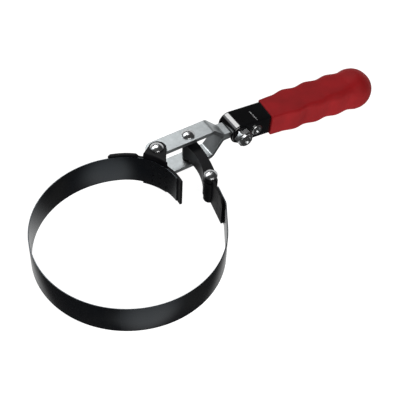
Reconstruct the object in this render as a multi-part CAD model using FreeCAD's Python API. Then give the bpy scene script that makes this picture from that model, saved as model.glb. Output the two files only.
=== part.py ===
import FreeCAD, Part
import math
import os

# Band-type oil filter wrench for large spin-on filters. Millimetres, +Z up.
# Origin: centre of the loop, on the plane of the band's lower edge. +Z is the loop's axis.
# +X is the direction in which the lever plates leave the loop. The tool is alike above and
# below its middle plane, so lower pieces are mirror images of upper ones.

Vec = FreeCAD.Vector
Z_AXIS = Vec(0, 0, 1)
Y_AXIS = Vec(0, 1, 0)

# ---- driving dimensions ----
BAND_HEIGHT = 25.4
BAND_THICKNESS = 0.8
LOOP_RADIUS = 71.0            # inner radius of the open ring
MID_Z = BAND_HEIGHT / 2.0
BAND_GAP = 0.15               # half the slit between two lengths of band
FLEX_ANGLES = (150.0, 207.5, 265.0)

SHOE_THICKNESS = 2.0
CURL_RADIUS = 43.5            # the rear shoe curls in tighter than the ring
CURL_START = 65.0             # ring angle where the tighter curl begins
CURL_BAND_END = -1.0
CURL_SHOE_END = -7.0
WING_START = 73.0             # ring angle of the rear shoe's wing, tall above the band
WING_END = 48.3
WING_RISE = 2.0
WING_CLIP = 2.6               # diagonal cut across each corner of the wing
EAR_FROM, EAR_TO = 43.4, 17.3
EAR_ROOT = 0.3                # how far an ear's root stands out from the band
EAR_BEND = 2.6                # outside radius of the bend from the shoe into each ear
BEND_FULLNESS = 0.31           # place of the bend's middle, as a share of its radius
EAR_TANGENTS = (125.0, -35.0)  # where the ear's straight sides meet its rounded end

STRAIGHT_FROM = -29.5         # ring angle where the band leaves the circle
FRONT_BEND = (74.05, -15.0)
FRONT_BEND_RADIUS = 12.0
FRONT_BAND_END = (77.7, 1.4)
FRONT_SHOE_THICKNESS = 1.8
FRONT_SHOE_START = 1.9        # along the band from its bend to the shoe's free end
FRONT_SHOE_LENGTH = 23.0
FRONT_SHOE_GAP = 0.02         # between the shoe's outer face and the band
FRONT_SHOE_CLIP = (7.5, 4.1)  # cut off the shoe's upper free corner: down, and along

TIE_ANGLES = (32.5, 24.3, 16.1)
TIE_HEIGHTS = (4.0, 9.8, 15.6, 21.4)
TIE_RADIUS = 0.9
TIE_RISE = 0.35               # how far a tie stands in from the band
TIE_GRIP = 1.2                # how deep it goes into the shoe
SHOE_TIES = ((3.8, 6.0), (3.8, 12.7), (9.8, 6.0), (9.8, 12.7), (9.8, 19.4))
SHOE_TIE_RADIUS = 1.1
SHOE_TIE_PROUD = 0.6

PIVOT = (56.5, 56.0)          # rivet through the rear shoe's ears
ARM_PIVOT = (86.0, 57.8)      # rivet through the side plates and the arm
SHOE_PIVOT = (79.2, 14.0)     # rivet through the arm and the front shoe
RIVET_SHANK = 3.0
RIVET_HEAD = 5.2
RIVET_RIM = 0.9               # upright rim below a rivet head's dome
RIVET_DOME = 2.5
FORMED_HEAD = 4.6             # smaller head formed at the rivets' lower end
FORMED_DOME = 1.7
CROWN_FLAT = 0.4              # radius of the flat at a rivet head's crown
RUNNING = 0.06                # radial clearance of a turning fit
OPEN_CLEARANCE = 0.8          # radial clearance where the linkage's chain is left open

PLATE_THICKNESS = 3.2
PLATE_NEAR, PLATE_FAR = 50.6, 65.8
TONGUE_NEAR, TONGUE_FAR = 53.2, 66.4
PLATE_END_X = 48.9
PLATE_TOP = 27.3
PLATE_SHOULDER_X = 103.0      # where the plate starts to narrow to its tongue
PLATE_BEND_X = 106.0
PLATE_BEND_RADIUS = 3.6
TONGUE_X = 117.0
TONGUE_GAP = 0.02             # half the gap between the two tongues
EAR_BOTTOM = 27.45
EAR_ROUND = (57.2, 56.0)      # centre of the ear's rounded end
EAR_RADIUS = 7.0
PIVOT_COLLAR = 5.0            # outer radius of the spacer on the pivot rivet
ARM_COLLAR = 3.9              # outer radius of the two spacers beside the arm

CUTTER_OVER = 5.0             # how far a cutter runs past the piece that it cuts

ARM_HEIGHT = 14.6
ARM_WALL = 2.2
ARM_END_RADIUS = 5.6
ARM_ROOT_RADIUS = 4.2
ARM_OUTER_ROOT = (92.0, 58.6)
ARM_OUTER_BOW = (90.5, 35.0)
ARM_INNER_BOW = (82.7, 35.5)
ARM_ROOT_TANGENTS = (90.0, 190.0)
ARM_TIP_TANGENTS = (-14.0, 160.0)
ARM_POCKET_SHIFT = (2.2, 1.32)  # how far the pocket stands off the arm's web
ARM_PLAY = 0.1                # between the arm and each collar
EYE_RADIUS = 5.0
EYE_HEIGHT = 5.0

BOLT_X = 131.4                # swivel bolt: axis across the handle
BOLT_RADIUS = 3.9
BARREL_RADIUS = 6.4
NUT_FLATS = 12.7
NUT_HEIGHT = 6.9
COLLAR_HEIGHT = 1.6           # round collar beyond the nut's six flats
COLLAR_RADIUS = 5.6
THREAD_END = 1.0              # how far the bolt's end stands inside the nut's collar
CHAMFER_SLOPE = 0.58          # rise over run of the cone that chamfers the nut
WASHER_THICKNESS = 1.2
WASHER_RADIUS = 7.6

BOLT_HEAD_RADIUS = 6.0        # low round head on the far cheek
BOLT_HEAD_HEIGHT = 2.2

HANDLE_Y = 59.6
HANDLE_DROOP = 6.4            # degrees below the loop's plane, as the tool lies
CHANNEL_WIDTH = 20.6
CHANNEL_WALL = 2.0
CHANNEL_HALF = 9.0
CHANNEL_EDGE = 1.4
NOSE_OPENING = 25.0           # angle left open below the nose's rolled web
CHANNEL_LENGTH = 118.0
STOP_U = 15.1                 # stop rivet, measured along the handle from the bolt
STOP_RADIUS = 2.6
STOP_HEAD = 4.9
STOP_HEAD_HEIGHT = 1.5
STOP_RECESS = 3.0
STOP_RECESS_DEPTH = 1.1
STOP_SLEEVE_RADIUS = 4.4
GROOVE_U = 15.2               # pressed line across the web
GROOVE_SIZE = 0.35
GROOVE_Y = (51.2, 62.6)

GRIP_START = 30.3
# along the handle, half width, half height, corner radius
GRIP_STATIONS = (
    (30.3, 11.1, 10.2, 2.0),
    (37.0, 11.2, 10.3, 2.4),
    (45.0, 12.0, 10.4, 3.0),
    (55.5, 14.5, 10.8, 4.0),
    (67.0, 13.4, 11.2, 5.0),
    (80.0, 15.8, 11.8, 6.4),
    (90.0, 14.3, 12.4, 7.6),
    (104.5, 16.6, 13.6, 9.6),
    (113.5, 15.6, 14.8, 11.6),
    (124.0, 17.8, 16.8, 15.2),
    (131.0, 17.2, 16.2, 15.2),
    (136.5, 14.2, 13.5, 13.0),
    (139.8, 10.0, 9.6, 9.2),
    (141.2, 5.6, 5.4, 5.1),
)


# ---- shape helpers ----
def polar(radius, degrees, centre=(0.0, 0.0)):
    """Point at a radius and angle about a centre."""
    turn = math.radians(degrees)
    return (centre[0] + radius * math.cos(turn), centre[1] + radius * math.sin(turn))


def point(pair, z=0.0):
    """A plan position as a vector."""
    return Vec(pair[0], pair[1], z)


def cylinder(centre, radius, low, high):
    """Upright cylinder between two heights."""
    return Part.makeCylinder(radius, high - low, point(centre, low), Z_AXIS)


def tube(centre, inner, outer, low, high):
    """Upright tube between two heights."""
    return cylinder(centre, outer, low, high).cut(cylinder(centre, inner, low, high))


def sector(centre, inner, outer, start, end, low, high):
    """Part of an upright ring between two angles and two heights."""
    middle = (start + end) / 2.0
    a, b, c = (point(polar(outer, t, centre), low) for t in (start, middle, end))
    d, e, f = (point(polar(inner, t, centre), low) for t in (end, middle, start))
    edges = [
        Part.Arc(a, b, c).toShape(),
        Part.makeLine(c, d),
        Part.Arc(d, e, f).toShape(),
        Part.makeLine(f, a),
    ]
    return Part.Face(Part.Wire(edges)).extrude(Vec(0, 0, high - low))


def prism(pairs, low, high):
    """Upright prism on a polygon."""
    corners = [point(p, low) for p in pairs]
    face = Part.Face(Part.makePolygon(corners + corners[:1]))
    return face.extrude(Vec(0, 0, high - low))


def joined(shapes):
    """One solid from touching solids."""
    whole = shapes[0].fuse(shapes[1:])
    return whole.removeSplitter()


def mirrored(shape):
    """The same piece on the other side of the middle plane."""
    return shape.mirror(Vec(0, 0, MID_Z), Z_AXIS)


def offset_side(path, radii, offset):
    """Edges of a path with rounded corners, moved sideways to its left by an offset."""
    points = [Vec(*p) for p in path]
    edges = []
    previous = None
    for i, here in enumerate(points):
        if i in (0, len(points) - 1):
            along = (points[1] - here) if i == 0 else (here - points[i - 1])
            along.normalize()
            left = Z_AXIS.cross(along)
            spot = here + left * offset
            if previous is not None:
                edges.append(Part.makeLine(previous, spot))
            previous = spot
            continue
        come = here - points[i - 1]
        go = points[i + 1] - here
        come.normalize()
        go.normalize()
        turn = math.atan2(come.cross(go).z, come.dot(go))
        side = 1.0 if turn > 0 else -1.0
        radius = radii[i - 1]
        reach = radius * math.tan(abs(turn) / 2.0)
        first = here - come * reach
        last = here + go * reach
        hub = first + Z_AXIS.cross(come) * (side * radius)
        outward = here - hub
        outward.normalize()
        start = first + Z_AXIS.cross(come) * offset
        end = last + Z_AXIS.cross(go) * offset
        crown = hub + outward * (radius - side * offset)
        edges.append(Part.makeLine(previous, start))
        edges.append(Part.Arc(start, crown, end).toShape())
        previous = end
    return edges


def strip(path, radii, thickness, low, high):
    """Bent strip of even thickness standing upright on a plan path."""
    left = offset_side(path, radii, thickness / 2.0)
    right = offset_side(path, radii, -thickness / 2.0)
    ends = [
        Part.makeLine(left[0].Vertexes[0].Point, right[0].Vertexes[0].Point),
        Part.makeLine(left[-1].Vertexes[-1].Point, right[-1].Vertexes[-1].Point),
    ]
    wire = Part.Wire(Part.__sortEdges__(left + right + ends))
    return Part.Face(wire).extrude(Vec(0, 0, high - low)).translated(Vec(0, 0, low))


def dome_edges(radius, base, rise, way):
    """Rim and low dome of a rivet head above a plane, with a tiny flat at the crown."""
    rim = base + way * RIVET_RIM
    crown = base + way * rise
    shoulder = rim + (crown - rim) * 0.72
    arc = Part.Arc(Vec(radius, 0, rim), Vec(radius * 0.62, 0, shoulder),
                   Vec(CROWN_FLAT, 0, crown))
    return [
        Part.makeLine(Vec(RIVET_SHANK, 0, base), Vec(radius, 0, base)),
        Part.makeLine(Vec(radius, 0, base), Vec(radius, 0, rim)),
        arc.toShape(),
        Part.makeLine(Vec(CROWN_FLAT, 0, crown), Vec(0, 0, crown)),
    ]


def rivet(centre, low, high):
    """Solid rivet: a shank, a domed head that bears at high and a formed head at low."""
    edges = dome_edges(RIVET_HEAD, high, RIVET_DOME, 1.0)
    edges += dome_edges(FORMED_HEAD, low, FORMED_DOME, -1.0)
    edges.append(Part.makeLine(Vec(RIVET_SHANK, 0, low), Vec(RIVET_SHANK, 0, high)))
    edges.append(Part.makeLine(Vec(0, 0, low - FORMED_DOME), Vec(0, 0, high + RIVET_DOME)))
    profile = Part.Face(Part.Wire(Part.__sortEdges__(edges)))
    return profile.revolve(Vec(0, 0, 0), Z_AXIS, 360).translated(point(centre))


# ---- the loop ----
def curl_centre():
    """Centre of the tighter curl, so that it leaves the ring without a kink."""
    return polar(LOOP_RADIUS - CURL_RADIUS, CURL_START)


def band_ring(start, end):
    """Length of band on the ring between two angles."""
    outer = LOOP_RADIUS + BAND_THICKNESS
    return sector((0, 0), LOOP_RADIUS, outer, start, end, 0, BAND_HEIGHT)


def slit_angle():
    """Angle that half of a slit takes up on the ring."""
    return math.degrees(BAND_GAP / LOOP_RADIUS)


def band_rear():
    """Rear length of band: the tight curl under the shoe, then the ring."""
    curl = sector(
        curl_centre(), CURL_RADIUS, CURL_RADIUS + BAND_THICKNESS,
        CURL_BAND_END, CURL_START, 0, BAND_HEIGHT,
    )
    band = joined([curl, band_ring(CURL_START, FLEX_ANGLES[0] - slit_angle())])
    return band.cut(band_ties())


def band_right():
    """Front length of band: ring, straight, and the bend behind the front shoe."""
    middle = LOOP_RADIUS + BAND_THICKNESS / 2.0
    ring = band_ring(FLEX_ANGLES[2] + slit_angle(), 360.0 + STRAIGHT_FROM)
    path = [
        (*polar(middle, STRAIGHT_FROM), 0),
        (*FRONT_BEND, 0),
        (*FRONT_BAND_END, 0),
    ]
    straight = strip(path, [FRONT_BEND_RADIUS], BAND_THICKNESS, 0, BAND_HEIGHT)
    return joined([ring, straight]).cut(shoe_ties())


def rear_shoe():
    """Pressed shoe outside the band, with a wing above it and an ear above and below."""
    centre = curl_centre()
    inner = CURL_RADIUS + BAND_THICKNESS
    outer = inner + SHOE_THICKNESS
    ring_inner = LOOP_RADIUS + BAND_THICKNESS
    ring_outer = ring_inner + SHOE_THICKNESS
    wing_top = BAND_HEIGHT + WING_RISE
    wall = sector(centre, inner, outer, CURL_SHOE_END, WING_END, 0, BAND_HEIGHT)
    wing = sector(centre, inner, outer, WING_END, CURL_START, 0, wing_top)
    tail = sector((0, 0), ring_inner, ring_outer, CURL_START, WING_START, 0, wing_top)
    ear_top = EAR_BOTTOM + SHOE_THICKNESS
    post = sector(centre, inner, outer, EAR_TO, EAR_FROM, BAND_HEIGHT - ear_top, ear_top)
    body = joined([wall, wing, tail, post])
    body = body.cut(wing_corners())
    upper = ear(EAR_BOTTOM, ear_top)
    shoe = joined([body, upper, mirrored(upper)])
    bend = ear_bend(ear_top)
    rivet_hole = cylinder(PIVOT, RIVET_SHANK, -ear_top, BAND_HEIGHT + ear_top)
    return shoe.cut([bend, mirrored(bend), rivet_hole] + band_ties())


def ear_bend(ear_top):
    """Cutter that rounds the shoe's inner face over into the upper ear."""
    centre = curl_centre()
    inner = CURL_RADIUS + BAND_THICKNESS
    near, far = inner - BAND_THICKNESS, inner + EAR_BEND
    foot, over = ear_top - EAR_BEND, ear_top + SHOE_THICKNESS
    middle = EAR_BEND * BEND_FULLNESS
    corners = [Vec(r, 0, z) for r, z in (
        (inner, foot), (inner + middle, ear_top - middle), (far, ear_top),
        (far, over), (near, over), (near, foot), (inner, foot),
    )]
    edges = [Part.Arc(*corners[:3]).toShape()]
    edges += [Part.makeLine(a, b) for a, b in zip(corners[2:], corners[3:])]
    face = Part.Face(Part.Wire(edges))
    face.rotate(Vec(0, 0, 0), Vec(0, 0, 1), EAR_TO - EAR_BEND)
    face.translate(point(centre))
    turn = EAR_FROM - EAR_TO + 2.0 * EAR_BEND
    return face.revolve(point(centre), Vec(0, 0, 1), turn)


def wing_corners():
    """Cutters that clip the upper corners of the tall wing."""
    cutters = []
    size = WING_CLIP
    for centre, radius, degrees in (
        ((0, 0), LOOP_RADIUS, WING_START),
        (curl_centre(), CURL_RADIUS, WING_END),
    ):
        corner = Vec(-SHOE_THICKNESS, -size / 2, -size / 2)
        block = Part.makeBox(4 * SHOE_THICKNESS, size, size, corner)
        block.rotate(Vec(0, 0, 0), Vec(1, 0, 0), 45)
        block.rotate(Vec(0, 0, 0), Z_AXIS, degrees)
        block.translate(point(polar(radius, degrees, centre), BAND_HEIGHT + WING_RISE))
        cutters.append(block)
    return cutters


def ear(low, high):
    """Flat ear that reaches out from the shoe to the pivot rivet."""
    centre = curl_centre()
    root = CURL_RADIUS + BAND_THICKNESS + EAR_ROOT
    first, last = EAR_TANGENTS
    web = prism(
        [
            polar(root, EAR_FROM, centre),
            polar(EAR_RADIUS, first, EAR_ROUND),
            polar(EAR_RADIUS, last, EAR_ROUND),
            polar(root, EAR_TO, centre),
            polar(root + EAR_ROOT, (EAR_FROM + EAR_TO) / 2.0, centre),
        ],
        low, high,
    )
    return joined([web, cylinder(EAR_ROUND, EAR_RADIUS, low, high)])


def band_ties():
    """Pressed buttons that tie the rear shoe to the band, three columns of four."""
    centre = curl_centre()
    ties = []
    for degrees in TIE_ANGLES:
        for height in TIE_HEIGHTS:
            start = point(polar(CURL_RADIUS - TIE_RISE, degrees, centre), height)
            way = point(polar(1.0, degrees))
            depth = TIE_RISE + BAND_THICKNESS + TIE_GRIP
            ties.append(Part.makeCylinder(TIE_RADIUS, depth, start, way))
    return ties


def front_lie():
    """Start of the front shoe's middle line, its direction towards the rivet, and its inner side."""
    along = point(FRONT_BAND_END) - point(FRONT_BEND)
    along.normalize()
    side = Z_AXIS.cross(along)
    offset = (FRONT_SHOE_THICKNESS + BAND_THICKNESS) / 2.0 + FRONT_SHOE_GAP
    start = point(FRONT_BEND) + along * FRONT_SHOE_START + side * offset
    return start, along, side


def front_shoe():
    """Shoe inside the band's front end, with an eye above and below the arm."""
    start, along, side = front_lie()
    end = start + along * FRONT_SHOE_LENGTH
    plate = strip([tuple(start), tuple(end)], [], FRONT_SHOE_THICKNESS, 0, BAND_HEIGHT)
    clip_down, clip_along = FRONT_SHOE_CLIP
    corner = start + Vec(0, 0, BAND_HEIGHT) - side * FRONT_SHOE_THICKNESS
    beyond = (along * -1 + Z_AXIS) * 0.5
    triangle = Part.makePolygon([
        corner + beyond,
        corner + along * clip_along + Z_AXIS * 0.5,
        corner - along * 0.5 - Z_AXIS * clip_down,
        corner + beyond,
    ])
    plate = plate.cut(Part.Face(triangle).extrude(side * (2 * FRONT_SHOE_THICKNESS)))
    low_eye = cylinder(SHOE_PIVOT, EYE_RADIUS, 0, EYE_HEIGHT)
    high_eye = cylinder(SHOE_PIVOT, EYE_RADIUS, BAND_HEIGHT - EYE_HEIGHT, BAND_HEIGHT)
    shoe = joined([plate, low_eye, high_eye])
    room = cylinder(SHOE_PIVOT, ARM_END_RADIUS + 1.0, EYE_HEIGHT, BAND_HEIGHT - EYE_HEIGHT)
    return shoe.cut([room, cylinder(SHOE_PIVOT, RIVET_SHANK, -1, BAND_HEIGHT + 1)] + shoe_ties())


def shoe_ties():
    """Flush rivets that hold the front shoe on the band."""
    start, along, side = front_lie()
    depth = FRONT_SHOE_THICKNESS + BAND_THICKNESS + SHOE_TIE_PROUD
    ties = []
    for reach, height in SHOE_TIES:
        spot = start + along * reach + side * (FRONT_SHOE_THICKNESS / 2.0 + 0.1)
        spot.z = height
        ties.append(Part.makeCylinder(SHOE_TIE_RADIUS, depth, spot, side * -1))
    return ties


# ---- the lever head ----
def plate_profile():
    """Side view of the upper plate: flat, joggle and tongue, drawn in plan."""
    half = PLATE_THICKNESS / 2.0
    flat_z = PLATE_TOP - half
    tongue_z = MID_Z + half + TONGUE_GAP
    path = [
        (PLATE_END_X, flat_z, 0),
        (PLATE_BEND_X, flat_z, 0),
        (TONGUE_X, tongue_z, 0),
        (BOLT_X - BOLT_RADIUS, tongue_z, 0),
    ]
    bends = [PLATE_BEND_RADIUS, PLATE_BEND_RADIUS]
    return strip(path, bends, PLATE_THICKNESS, 0, TONGUE_FAR - PLATE_NEAR)


def plate_plan():
    """Plan of a side plate: rounded inner end, and a narrower tongue beyond the joggle."""
    width = PLATE_FAR - PLATE_NEAR
    end = (PLATE_END_X + width / 2.0, PLATE_NEAR + width / 2.0)
    shoulder = PLATE_SHOULDER_X
    beyond = BOLT_X + BARREL_RADIUS + CUTTER_OVER
    outline = [
        (end[0], PLATE_NEAR), (shoulder, PLATE_NEAR),
        (TONGUE_X, TONGUE_NEAR), (beyond, TONGUE_NEAR),
        (beyond, TONGUE_FAR), (TONGUE_X, TONGUE_FAR),
        (shoulder, PLATE_FAR), (end[0], PLATE_FAR),
    ]
    top = PLATE_TOP + CUTTER_OVER
    return joined([cylinder(end, width / 2.0, MID_Z, top), prism(outline, MID_Z, top)])


def upper_side_plate():
    """Zinc-plated lever plate, cranked down to the middle plane at its outer end."""
    body = plate_profile()
    body.rotate(Vec(0, 0, 0), Vec(1, 0, 0), 90)
    body.translate(Vec(0, TONGUE_FAR, 0))
    width = TONGUE_FAR - TONGUE_NEAR
    barrel = Part.makeCylinder(BARREL_RADIUS, width, Vec(BOLT_X, TONGUE_NEAR, MID_Z), Y_AXIS)
    size = 4 * BARREL_RADIUS
    corner = Vec(BOLT_X - size / 2.0, TONGUE_NEAR - CUTTER_OVER, MID_Z + TONGUE_GAP)
    above = Part.makeBox(size, size, size, corner)
    body = joined([body, barrel.common(above)]).common(plate_plan())
    for spot, radius in ((PIVOT, RIVET_SHANK + RUNNING), (ARM_PIVOT, RIVET_SHANK)):
        body = body.cut(cylinder(spot, radius, MID_Z, PLATE_TOP + CUTTER_OVER))
    ends = TONGUE_NEAR - CUTTER_OVER, TONGUE_FAR + CUTTER_OVER
    return body.cut(across(0, BOLT_RADIUS + RUNNING, *ends))


def pivot_spacer():
    """Tube on the pivot rivet that holds the two side plates apart."""
    low = BAND_HEIGHT - PLATE_TOP + PLATE_THICKNESS
    high = PLATE_TOP - PLATE_THICKNESS
    return tube(PIVOT, RIVET_SHANK + RUNNING, PIVOT_COLLAR, low, high)


def arm_spacers():
    """Two collars that centre the arm between the side plates."""
    high = PLATE_TOP - PLATE_THICKNESS
    low = MID_Z + ARM_HEIGHT / 2.0 + ARM_PLAY
    collar = tube(ARM_PIVOT, RIVET_SHANK, ARM_COLLAR, low, high)
    return [collar, mirrored(collar)]


# ---- the arm ----
def arm_outline(low, high):
    """Banana-shaped plan of the arm between its two rivets."""
    root_out = point(ARM_OUTER_ROOT, low)
    root_top, root_in = (
        point(polar(ARM_ROOT_RADIUS, t, ARM_PIVOT), low) for t in ARM_ROOT_TANGENTS)
    tip_out, tip_in = (
        point(polar(ARM_END_RADIUS, t, SHOE_PIVOT), low) for t in ARM_TIP_TANGENTS)
    edges = [
        Part.Arc(root_out, point(ARM_OUTER_BOW, low), tip_out).toShape(),
        Part.makeLine(tip_out, tip_in),
        Part.Arc(tip_in, point(ARM_INNER_BOW, low), root_in).toShape(),
        Part.makeLine(root_in, root_top),
        Part.makeLine(root_top, root_out),
    ]
    body = Part.Face(Part.Wire(edges)).extrude(Vec(0, 0, high - low))
    ends = [
        cylinder(ARM_PIVOT, ARM_ROOT_RADIUS, low, high),
        cylinder(SHOE_PIVOT, ARM_END_RADIUS, low, high),
    ]
    return joined([body] + ends)


def link_arm():
    """Curved pressed channel: two flanges, with the web on the side towards the loop."""
    low = MID_Z - ARM_HEIGHT / 2.0
    high = MID_Z + ARM_HEIGHT / 2.0
    body = arm_outline(low, high)
    pocket = arm_outline(low + ARM_WALL, high - ARM_WALL)
    pocket.translate(point(ARM_POCKET_SHIFT))
    body = body.cut(pocket)
    holes = [
        cylinder(ARM_PIVOT, RIVET_SHANK + RUNNING, low, high),
        cylinder(SHOE_PIVOT, RIVET_SHANK + OPEN_CLEARANCE, low, high),
    ]
    return body.cut(holes)


# ---- the swivel ----
def across(u_shift, radius, start, end):
    """Cylinder across the handle at a distance along it from the bolt, undrooped."""
    return Part.makeCylinder(radius, end - start, Vec(BOLT_X + u_shift, start, MID_Z), Y_AXIS)


def cheek_faces():
    """Outer faces of the handle's two cheeks."""
    return HANDLE_Y - CHANNEL_WIDTH / 2.0, HANDLE_Y + CHANNEL_WIDTH / 2.0


def hexagon(flats, start, end):
    """Hexagonal prism on the bolt's axis, flat side up, with chamfered outer corners."""
    corner = flats / math.sqrt(3.0)
    ring = [
        Vec(BOLT_X + corner * math.cos(math.radians(60 * i)), start,
            MID_Z + corner * math.sin(math.radians(60 * i)))
        for i in range(6)
    ]
    face = Part.Face(Part.makePolygon(ring + ring[:1]))
    return face.extrude(Vec(0, end - start, 0))


def chamfered_hexagon(flats, start, end):
    """Hexagon whose corners are turned down by a cone at its start."""
    length = end - start
    narrow = flats / 2.0 - 0.1
    wide = narrow + length / CHAMFER_SLOPE
    cone = Part.makeCone(narrow, wide, length, Vec(BOLT_X, start, MID_Z), Y_AXIS)
    return hexagon(flats, start, end).common(cone)


def swivel_bolt():
    """Bolt across the handle and the plates' barrel, with a low round head on the far cheek."""
    near, far = cheek_faces()
    head = across(0, BOLT_HEAD_RADIUS, far, far + BOLT_HEAD_HEIGHT)
    rim = [e for e in head.Edges if e.Closed and e.BoundBox.YMin > far + BOLT_HEAD_HEIGHT - 0.1]
    head = head.makeFillet(BOLT_HEAD_HEIGHT * 0.8, rim)
    shank = across(0, BOLT_RADIUS, near - WASHER_THICKNESS - NUT_HEIGHT + THREAD_END, far)
    return joined([head, shank])


def lock_nut():
    """Hex lock nut at the near cheek, with the round collar that grips its insert."""
    near, _ = cheek_faces()
    inner_face = near - WASHER_THICKNESS
    body = chamfered_hexagon(NUT_FLATS, inner_face - NUT_HEIGHT + COLLAR_HEIGHT, inner_face)
    collar = across(0, COLLAR_RADIUS, inner_face - NUT_HEIGHT, inner_face - COLLAR_HEIGHT)
    bore = across(0, BOLT_RADIUS, inner_face - NUT_HEIGHT, inner_face)
    return joined([body, collar]).cut(bore)


def nut_washer():
    """Plain washer between the lock nut and the near cheek."""
    near, _ = cheek_faces()
    washer = across(0, WASHER_RADIUS, near - WASHER_THICKNESS, near)
    return washer.cut(across(0, BOLT_RADIUS, near - WASHER_THICKNESS, near))


# ---- the handle ----
def droop(shape):
    """Turns a handle piece about the swivel bolt to the angle at which the tool lies."""
    turned = shape.copy()
    turned.rotate(Vec(BOLT_X, 0, MID_Z), Y_AXIS, HANDLE_DROOP)
    return turned


def side_slab(u_start, u_end, low, high, start, end):
    """Box given along the handle, in height about the bolt, and across."""
    size = Vec(u_end - u_start, end - start, high - low)
    return Part.makeBox(size.x, size.y, size.z, Vec(BOLT_X + u_start, start, MID_Z + low))


def handle_channel():
    """Pressed channel, open below, whose web rolls round the nose above the tongue."""
    near, far = cheek_faces()
    wall, half = CHANNEL_WALL, CHANNEL_HALF
    outer = across(0, half, near, far).fuse(
        side_slab(0, CHANNEL_LENGTH, -half, half, near, far)).removeSplitter()
    inner = across(0, half - wall, near + wall, far - wall).fuse([
        side_slab(0, CHANNEL_LENGTH + 1, -half - 1, half - wall, near + wall, far - wall)])
    body = outer.cut([inner, nose_mouth(near + wall, far - wall)])
    body = body.makeFillet(CHANNEL_EDGE, long_edges(body, near, far))
    bolt_hole = across(0, BOLT_RADIUS + RUNNING, near - 1, far + 1)
    stop_hole = across(STOP_U, STOP_RADIUS, near - 1, far + 1)
    groove = side_slab(GROOVE_U - GROOVE_SIZE, GROOVE_U + GROOVE_SIZE,
                       half - GROOVE_SIZE, half + 1, *GROOVE_Y)
    return droop(body.cut([bolt_hole, stop_hole, groove]))


def nose_mouth(start, end):
    """Wedge below the nose that lets the tongue in, from the web's lip round to the open side."""
    reach = CHANNEL_HALF + 2
    lip = math.radians(180.0 - NOSE_OPENING)
    corners = [
        Vec(BOLT_X, start, MID_Z),
        Vec(BOLT_X + reach * 1.3 * math.cos(lip), start, MID_Z + reach * 1.3 * math.sin(lip)),
        Vec(BOLT_X - reach, start, MID_Z - reach),
        Vec(BOLT_X, start, MID_Z - reach),
    ]
    face = Part.Face(Part.makePolygon(corners + corners[:1]))
    return face.extrude(Vec(0, end - start, 0))


def long_edges(body, near, far):
    """The channel's two long upper outside edges, round the nose as well."""
    found = []
    for edge in body.Edges:
        spots = [edge.valueAt(edge.FirstParameter + (edge.LastParameter - edge.FirstParameter) * t)
                 for t in (0.0, 0.5, 1.0)]
        on_side = all(min(abs(p.y - near), abs(p.y - far)) < 0.01 for p in spots)
        on_top = all(abs(p.z - MID_Z - CHANNEL_HALF) < 0.01 for p in spots)
        on_nose = all(abs(math.hypot(p.x - BOLT_X, p.z - MID_Z) - CHANNEL_HALF) < 0.01
                      and p.x < BOLT_X + 0.01 for p in spots)
        if on_side and (on_top or on_nose):
            found.append(edge)
    return found


def stop_rivet():
    """Tubular rivet through the cheeks behind the barrel, with rolled heads."""
    near, far = cheek_faces()
    low, high = near - STOP_HEAD_HEIGHT, far + STOP_HEAD_HEIGHT
    body = joined([
        across(STOP_U, STOP_RADIUS, near, far),
        across(STOP_U, STOP_HEAD, low, near),
        across(STOP_U, STOP_HEAD, far, high),
    ])
    rims = [e for e in body.Edges if e.Closed and abs(e.BoundBox.XLength - 2 * STOP_HEAD) < 0.05
            and (e.BoundBox.YMin < low + 0.1 or e.BoundBox.YMax > high - 0.1)]
    body = body.makeFillet(STOP_HEAD_HEIGHT * 0.65, rims)
    hollow = [
        across(STOP_U, STOP_RECESS, low, low + STOP_RECESS_DEPTH),
        across(STOP_U, STOP_RECESS, high - STOP_RECESS_DEPTH, high),
    ]
    return droop(body.cut(hollow))


def stop_sleeve():
    """Spacer tube on the stop rivet between the cheeks."""
    near, far = cheek_faces()
    body = across(STOP_U, STOP_SLEEVE_RADIUS, near + CHANNEL_WALL, far - CHANNEL_WALL)
    return droop(body.cut(across(STOP_U, STOP_RADIUS, near, far)))


def grip_section(u, half_width, half_height, radius):
    """Rounded rectangle across the handle."""
    flat_y = half_width - radius
    flat_z = half_height - radius
    nook = radius * math.sqrt(0.5)
    x = BOLT_X + u
    edges = []
    quarter = ((1, 1), (-1, 1), (-1, -1), (1, -1))
    starts = []
    for i, (sy, sz) in enumerate(quarter):
        hub = Vec(x, HANDLE_Y + sy * flat_y, MID_Z + sz * flat_z)
        side = hub + Vec(0, sy * radius, 0)
        crown = hub + Vec(0, 0, sz * radius)
        first, last = (side, crown) if i % 2 == 0 else (crown, side)
        middle = hub + Vec(0, sy * nook, sz * nook)
        starts.append((first, middle, last))
    for i, (first, middle, last) in enumerate(starts):
        edges.append(Part.Arc(first, middle, last).toShape())
        edges.append(Part.makeLine(last, starts[(i + 1) % 4][0]))
    return Part.Wire(edges)


def grip():
    """Thick vinyl sleeve with finger waves and a ball end, bored for the channel."""
    sections = [grip_section(*station) for station in GRIP_STATIONS]
    body = Part.makeLoft(sections, True, False)
    near, far = cheek_faces()
    bore = side_slab(GRIP_START - 1, CHANNEL_LENGTH + 0.5, -CHANNEL_HALF, CHANNEL_HALF, near, far)
    return droop(body.cut(bore))


# ---- build ----
def export(name, shapes):
    """Writes one node; several solids go in as one compound."""
    shapes = shapes if isinstance(shapes, list) else [shapes]
    for shape in shapes:
        if not shape.isValid():
            raise ValueError(name + " is not valid")
    solids = [solid for shape in shapes for solid in shape.Solids]
    whole = solids[0] if len(solids) == 1 else Part.makeCompound(solids)
    whole.exportStep("parts/" + name + ".step")
    print(name, len(solids), round(sum(s.Volume for s in solids), 1))


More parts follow.
